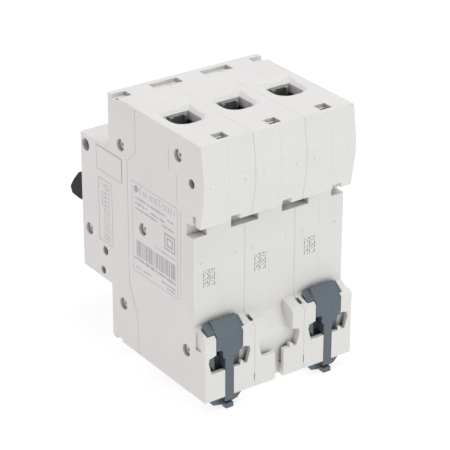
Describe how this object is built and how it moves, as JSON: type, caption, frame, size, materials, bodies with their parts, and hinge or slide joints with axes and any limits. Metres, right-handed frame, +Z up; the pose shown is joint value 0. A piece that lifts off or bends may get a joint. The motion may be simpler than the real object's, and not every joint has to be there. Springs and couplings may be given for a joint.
{
  "type": "circuit breaker",
  "caption": "Rail-mounted miniature circuit breaker with joined toggles, cage-clamp terminals, rivets, a rail recess with sliding clips, and a working contact mechanism inside.",
  "frame": {"origin": "centre of the rail seat: y = 0 is the face that rests on the rail, z = 0 the rail's centre line, x = 0 the middle of the three poles", "axes": "+Y back towards the wall, -Y the toggle side, +Z up, X across the poles, with pole 1 at +X"},
  "size_m": [0.054, 0.0791, 0.0851],
  "materials": {
    "housing_plastic": "moulded, very light warm grey",
    "toggle_plastic": "moulded, blue-black, smooth",
    "clip_plastic": "moulded, blue-grey, satin",
    "trip_plastic": "moulded, ivory",
    "carrier_plastic": "moulded thermoset, black",
    "rivet_steel": "bright rolled steel",
    "steel": "ground steel",
    "spring_steel": "drawn wire",
    "plated_steel": "plated sheet steel",
    "zinc_steel": "zinc plated, dull",
    "tinned_copper": "tin-plated copper strip, dull",
    "copper": "copper strip",
    "enamelled_copper": "enamelled copper wire",
    "braid_copper": "braided copper",
    "bimetal": "rolled bimetal strip"
  },
  "bodies": {
    "housing": {"rivets": "rivet_steel", "arm_pivot_pins": "steel", "main_springs": "spring_steel", "coil_yokes": "plated_steel", "flexible_braids": "braid_copper", "upper_terminals": "tinned_copper", "lower_terminals": "tinned_copper", "case_base_1": "housing_plastic", "case_cover_1": "housing_plastic", "coil_winding_1": "enamelled_copper", "fixed_contact_1": "copper", "arc_chute_1": "plated_steel", "case_base_2": "housing_plastic", "case_cover_2": "housing_plastic", "coil_winding_2": "enamelled_copper", "fixed_contact_2": "copper", "arc_chute_2": "plated_steel", "case_base_3": "housing_plastic", "case_cover_3": "housing_plastic", "coil_winding_3": "enamelled_copper", "fixed_contact_3": "copper", "arc_chute_3": "plated_steel"},
    "toggle": {"toggle_1": "toggle_plastic", "toggle_2": "toggle_plastic", "toggle_3": "toggle_plastic", "toggle_tie_bar": "toggle_plastic"},
    "trip": {"trip_bar": "trip_plastic", "trip_lever_1": "trip_plastic", "trip_lever_2": "trip_plastic", "trip_lever_3": "trip_plastic"},
    "link_1": {"link_wire_1": "spring_steel"},
    "arm_1": {"contact_carrier_1": "carrier_plastic", "contact_arm_1": "copper"},
    "plunger_1": {"plunger_1": "steel"},
    "bimetal_1": {"bimetal_strip_1": "bimetal"},
    "upper_screw_1": {"upper_screw_1": "zinc_steel"},
    "upper_clamp_1": {"upper_clamp_1": "zinc_steel"},
    "lower_screw_1": {"lower_screw_1": "zinc_steel"},
    "lower_clamp_1": {"lower_clamp_1": "zinc_steel"},
    "link_2": {"link_wire_2": "spring_steel"},
    "arm_2": {"contact_carrier_2": "carrier_plastic", "contact_arm_2": "copper"},
    "plunger_2": {"plunger_2": "steel"},
    "bimetal_2": {"bimetal_strip_2": "bimetal"},
    "upper_screw_2": {"upper_screw_2": "zinc_steel"},
    "upper_clamp_2": {"upper_clamp_2": "zinc_steel"},
    "lower_screw_2": {"lower_screw_2": "zinc_steel"},
    "lower_clamp_2": {"lower_clamp_2": "zinc_steel"},
    "link_3": {"link_wire_3": "spring_steel"},
    "arm_3": {"contact_carrier_3": "carrier_plastic", "contact_arm_3": "copper"},
    "plunger_3": {"plunger_3": "steel"},
    "bimetal_3": {"bimetal_strip_3": "bimetal"},
    "upper_screw_3": {"upper_screw_3": "zinc_steel"},
    "upper_clamp_3": {"upper_clamp_3": "zinc_steel"},
    "lower_screw_3": {"lower_screw_3": "zinc_steel"},
    "lower_clamp_3": {"lower_clamp_3": "zinc_steel"},
    "rail_clip_1": {"din_clip_1": "clip_plastic"},
    "rail_clip_3": {"din_clip_3": "clip_plastic"}
  },
  "joints": [
    {"name": "toggle_swing", "type": "hinge", "parent": "housing", "child": "toggle", "pos_m": [0, -0.0526, 0.005], "axis": [-1, 0, 0], "range_deg": [0, 40]},
    {"name": "trip_swing", "type": "hinge", "parent": "housing", "child": "trip", "pos_m": [0, -0.04, -0.018], "axis": [1, 0, 0], "range_deg": [0, 8], "stiffness_Nm_per_rad": 0.05},
    {"name": "link_swing_1", "type": "hinge", "parent": "toggle", "child": "link_1", "pos_m": [0.018, -0.04809, 0.00664], "axis": [-1, 0, 0], "range_deg": [-40, 0]},
    {"name": "arm_swing_1", "type": "hinge", "parent": "housing", "child": "arm_1", "pos_m": [0.018, -0.036, -0.008], "axis": [1, 0, 0], "range_deg": [0, 17.3]},
    {"name": "plunger_slide_1", "type": "slide", "parent": "housing", "child": "plunger_1", "axis": [0, -1, 0], "range_m": [0, 0.003], "stiffness_N_per_m": 150},
    {"name": "bimetal_bend_1", "type": "hinge", "parent": "housing", "child": "bimetal_1", "pos_m": [0.018, -0.0311, -0.0236], "axis": [1, 0, 0], "range_deg": [0, 7], "stiffness_Nm_per_rad": 0.05},
    {"name": "upper_screw_turn_1", "type": "hinge", "parent": "housing", "child": "upper_screw_1", "pos_m": [0.018, -0.03, 0.032], "axis": [0, 1, 0], "range_deg": [0, 3157]},
    {"name": "upper_clamp_slide_1", "type": "slide", "parent": "housing", "child": "upper_clamp_1", "axis": [0, -1, 0], "range_m": [0, 0.007]},
    {"name": "lower_screw_turn_1", "type": "hinge", "parent": "housing", "child": "lower_screw_1", "pos_m": [0.018, -0.03, -0.032], "axis": [0, 1, 0], "range_deg": [0, 3157]},
    {"name": "lower_clamp_slide_1", "type": "slide", "parent": "housing", "child": "lower_clamp_1", "axis": [0, -1, 0], "range_m": [0, 0.007]},
    {"name": "link_swing_2", "type": "hinge", "parent": "toggle", "child": "link_2", "pos_m": [0, -0.04809, 0.00664], "axis": [-1, 0, 0], "range_deg": [-40, 0]},
    {"name": "arm_swing_2", "type": "hinge", "parent": "housing", "child": "arm_2", "pos_m": [0, -0.036, -0.008], "axis": [1, 0, 0], "range_deg": [0, 17.3]},
    {"name": "plunger_slide_2", "type": "slide", "parent": "housing", "child": "plunger_2", "axis": [0, -1, 0], "range_m": [0, 0.003], "stiffness_N_per_m": 150},
    {"name": "bimetal_bend_2", "type": "hinge", "parent": "housing", "child": "bimetal_2", "pos_m": [0, -0.0311, -0.0236], "axis": [1, 0, 0], "range_deg": [0, 7], "stiffness_Nm_per_rad": 0.05},
    {"name": "upper_screw_turn_2", "type": "hinge", "parent": "housing", "child": "upper_screw_2", "pos_m": [0, -0.03, 0.032], "axis": [0, 1, 0], "range_deg": [0, 3157]},
    {"name": "upper_clamp_slide_2", "type": "slide", "parent": "housing", "child": "upper_clamp_2", "axis": [0, -1, 0], "range_m": [0, 0.007]},
    {"name": "lower_screw_turn_2", "type": "hinge", "parent": "housing", "child": "lower_screw_2", "pos_m": [0, -0.03, -0.032], "axis": [0, 1, 0], "range_deg": [0, 3157]},
    {"name": "lower_clamp_slide_2", "type": "slide", "parent": "housing", "child": "lower_clamp_2", "axis": [0, -1, 0], "range_m": [0, 0.007]},
    {"name": "link_swing_3", "type": "hinge", "parent": "toggle", "child": "link_3", "pos_m": [-0.018, -0.04809, 0.00664], "axis": [-1, 0, 0], "range_deg": [-40, 0]},
    {"name": "arm_swing_3", "type": "hinge", "parent": "housing", "child": "arm_3", "pos_m": [-0.018, -0.036, -0.008], "axis": [1, 0, 0], "range_deg": [0, 17.3]},
    {"name": "plunger_slide_3", "type": "slide", "parent": "housing", "child": "plunger_3", "axis": [0, -1, 0], "range_m": [0, 0.003], "stiffness_N_per_m": 150},
    {"name": "bimetal_bend_3", "type": "hinge", "parent": "housing", "child": "bimetal_3", "pos_m": [-0.018, -0.0311, -0.0236], "axis": [1, 0, 0], "range_deg": [0, 7], "stiffness_Nm_per_rad": 0.05},
    {"name": "upper_screw_turn_3", "type": "hinge", "parent": "housing", "child": "upper_screw_3", "pos_m": [-0.018, -0.03, 0.032], "axis": [0, 1, 0], "range_deg": [0, 3157]},
    {"name": "upper_clamp_slide_3", "type": "slide", "parent": "housing", "child": "upper_clamp_3", "axis": [0, -1, 0], "range_m": [0, 0.007]},
    {"name": "lower_screw_turn_3", "type": "hinge", "parent": "housing", "child": "lower_screw_3", "pos_m": [-0.018, -0.03, -0.032], "axis": [0, 1, 0], "range_deg": [0, 3157]},
    {"name": "lower_clamp_slide_3", "type": "slide", "parent": "housing", "child": "lower_clamp_3", "axis": [0, -1, 0], "range_m": [0, 0.007]},
    {"name": "rail_clip_slide_1", "type": "slide", "parent": "housing", "child": "rail_clip_1", "axis": [0, 0, -1], "range_m": [0, 0.0035]},
    {"name": "rail_clip_slide_3", "type": "slide", "parent": "housing", "child": "rail_clip_3", "axis": [0, 0, -1], "range_m": [0, 0.0035]}
  ],
  "couplings": [
    {"joint": "link_swing_1", "follows": "toggle_swing", "ratio": -1},
    {"joint": "arm_swing_1", "follows": "toggle_swing", "ratio": 0.43},
    {"joint": "upper_screw_turn_1", "follows": "upper_clamp_slide_1", "rad_per_m": 7854},
    {"joint": "lower_screw_turn_1", "follows": "lower_clamp_slide_1", "rad_per_m": 7854},
    {"joint": "link_swing_2", "follows": "toggle_swing", "ratio": -1},
    {"joint": "arm_swing_2", "follows": "toggle_swing", "ratio": 0.43},
    {"joint": "upper_screw_turn_2", "follows": "upper_clamp_slide_2", "rad_per_m": 7854},
    {"joint": "lower_screw_turn_2", "follows": "lower_clamp_slide_2", "rad_per_m": 7854},
    {"joint": "link_swing_3", "follows": "toggle_swing", "ratio": -1},
    {"joint": "arm_swing_3", "follows": "toggle_swing", "ratio": 0.43},
    {"joint": "upper_screw_turn_3", "follows": "upper_clamp_slide_3", "rad_per_m": 7854},
    {"joint": "lower_screw_turn_3", "follows": "lower_clamp_slide_3", "rad_per_m": 7854}
  ]
}
